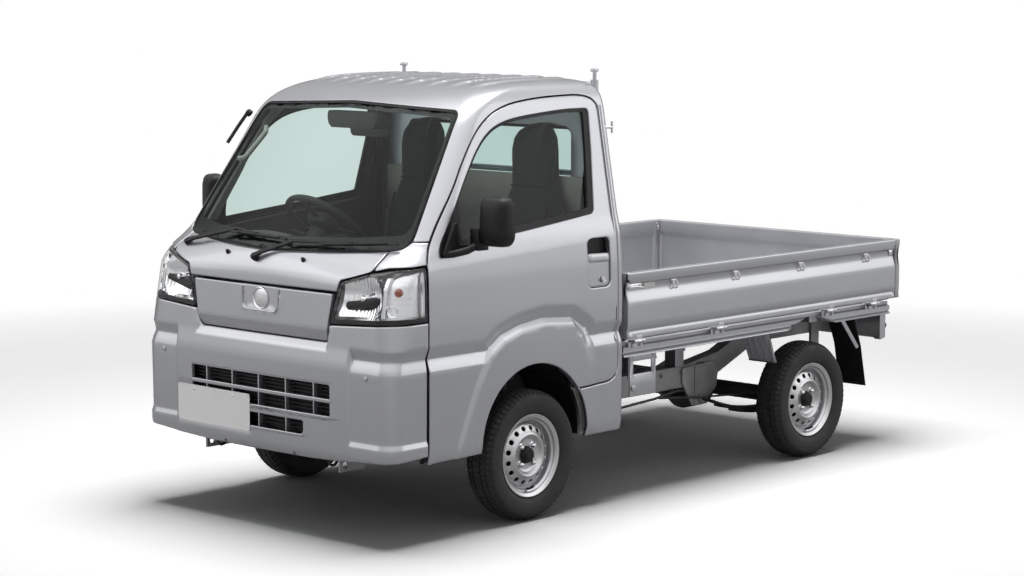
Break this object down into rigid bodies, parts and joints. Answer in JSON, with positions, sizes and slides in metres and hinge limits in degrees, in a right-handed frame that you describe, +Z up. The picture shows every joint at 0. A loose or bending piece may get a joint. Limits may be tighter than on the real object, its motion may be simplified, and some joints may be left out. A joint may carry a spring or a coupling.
{
  "type": "cab-over mini pickup truck",
  "caption": "Small cab-over pickup truck with hollow two-door cab, drop-side load bed, steered front wheels and leaf-sprung rear axle.",
  "frame": {"origin": "on the ground under the middle of the overall box, wheels straight, doors and gates shut", "axes": "+Z up, nose towards -Y, tailgate towards +Y, left side of the truck towards +X"},
  "size_m": [1.8544, 3.395, 1.801],
  "materials": {
    "paint": "silver metallic, glossy",
    "chassis_black": "satin black",
    "engine_metal": "cast",
    "exhaust_steel": "weathered",
    "floor_paint": "satin grey",
    "black_plastic": "grained",
    "dash_plastic": "grained",
    "clear_lens": "clear",
    "glass": "clear, faint green",
    "seat_cloth": "woven",
    "red_lens": "clear red",
    "flap_rubber": "matt",
    "tyre": "matt",
    "wheel_paint": "silver, satin"
  },
  "bodies": {
    "chassis": {"frame": "chassis_black", "front_suspension": "chassis_black", "rear_axle": "chassis_black", "leaf_springs": "chassis_black", "drivetrain": "engine_metal", "fuel_tank": "black_plastic", "exhaust": "exhaust_steel", "cab_floor": "floor_paint", "cab_sides": "paint", "roof": "paint", "back_panel": "paint", "front_panel": "paint", "garnish": "paint", "bumper": "paint", "grille": "black_plastic", "headlamps": "clear_lens", "windows": "glass", "wipers": "black_plastic", "dashboard": "dash_plastic", "seats": "seat_cloth", "bed_floor": "paint", "bed_frame": "paint", "guard_frame": "paint", "rear_panel": "paint", "tail_lamps": "red_lens", "mudguards": "flap_rubber"},
    "door_left_body": {"door_left": "paint", "door_glass_left": "glass", "mirror_left": "black_plastic"},
    "gate_left_body": {"gate_left": "paint"},
    "door_right_body": {"door_right": "paint", "door_glass_right": "glass", "mirror_right": "black_plastic"},
    "gate_right_body": {"gate_right": "paint"},
    "tailgate_body": {"tailgate": "paint"},
    "steering_wheel_body": {"steering_wheel": "black_plastic"},
    "knuckle_left_body": {"knuckle_left": "chassis_black"},
    "knuckle_right_body": {"knuckle_right": "chassis_black"},
    "wheel_front_left": {"tyre_front_left": "tyre", "rim_front_left": "wheel_paint"},
    "wheel_front_right": {"tyre_front_right": "tyre", "rim_front_right": "wheel_paint"},
    "wheel_rear_left": {"tyre_rear_left": "tyre", "rim_rear_left": "wheel_paint"},
    "wheel_rear_right": {"tyre_rear_right": "tyre", "rim_rear_right": "wheel_paint"}
  },
  "joints": [
    {"name": "door_left_hinge", "type": "hinge", "parent": "chassis", "child": "door_left_body", "pos_m": [0.7155, -1.4515, 0.68], "axis": [0, 0, -1], "range_deg": [0, 65]},
    {"name": "door_right_hinge", "type": "hinge", "parent": "chassis", "child": "door_right_body", "pos_m": [-0.7155, -1.4515, 0.68], "axis": [0, 0, 1], "range_deg": [0, 65]},
    {"name": "gate_left_hinge", "type": "hinge", "parent": "chassis", "child": "gate_left_body", "pos_m": [0.7345, 0.68, 0.668], "axis": [0, 1, 0], "range_deg": [0, 175]},
    {"name": "gate_right_hinge", "type": "hinge", "parent": "chassis", "child": "gate_right_body", "pos_m": [-0.7345, 0.68, 0.668], "axis": [0, -1, 0], "range_deg": [0, 175]},
    {"name": "tailgate_hinge", "type": "hinge", "parent": "chassis", "child": "tailgate_body", "pos_m": [0, 1.6885, 0.668], "axis": [-1, 0, 0], "range_deg": [0, 175]},
    {"name": "steer_left", "type": "hinge", "parent": "chassis", "child": "knuckle_left_body", "pos_m": [0.548, -0.8665, 0.265], "axis": [0, 0, 1], "range_deg": [-35, 35]},
    {"name": "steer_right", "type": "hinge", "parent": "chassis", "child": "knuckle_right_body", "pos_m": [-0.548, -0.8665, 0.265], "axis": [0, 0, 1], "range_deg": [-35, 35]},
    {"name": "steering_wheel_turn", "type": "hinge", "parent": "chassis", "child": "steering_wheel_body", "pos_m": [-0.33, -1.0775, 1.075], "axis": [0, 0.6691, 0.7431], "range_deg": [-560, 560]},
    {"name": "wheel_front_left_spin", "type": "hinge", "parent": "knuckle_left_body", "child": "wheel_front_left", "pos_m": [0.6525, -0.8665, 0.265], "axis": [1, 0, 0], "continuous": true},
    {"name": "wheel_front_right_spin", "type": "hinge", "parent": "knuckle_right_body", "child": "wheel_front_right", "pos_m": [-0.6525, -0.8665, 0.265], "axis": [1, 0, 0], "continuous": true},
    {"name": "wheel_rear_left_spin", "type": "hinge", "parent": "chassis", "child": "wheel_rear_left", "pos_m": [0.65, 1.0335, 0.265], "axis": [1, 0, 0], "continuous": true},
    {"name": "wheel_rear_right_spin", "type": "hinge", "parent": "chassis", "child": "wheel_rear_right", "pos_m": [-0.65, 1.0335, 0.265], "axis": [1, 0, 0], "continuous": true}
  ],
  "couplings": [
    {"joint": "steer_right", "follows": "steer_left", "ratio": 1},
    {"joint": "steering_wheel_turn", "follows": "steer_left", "ratio": 16}
  ]
}
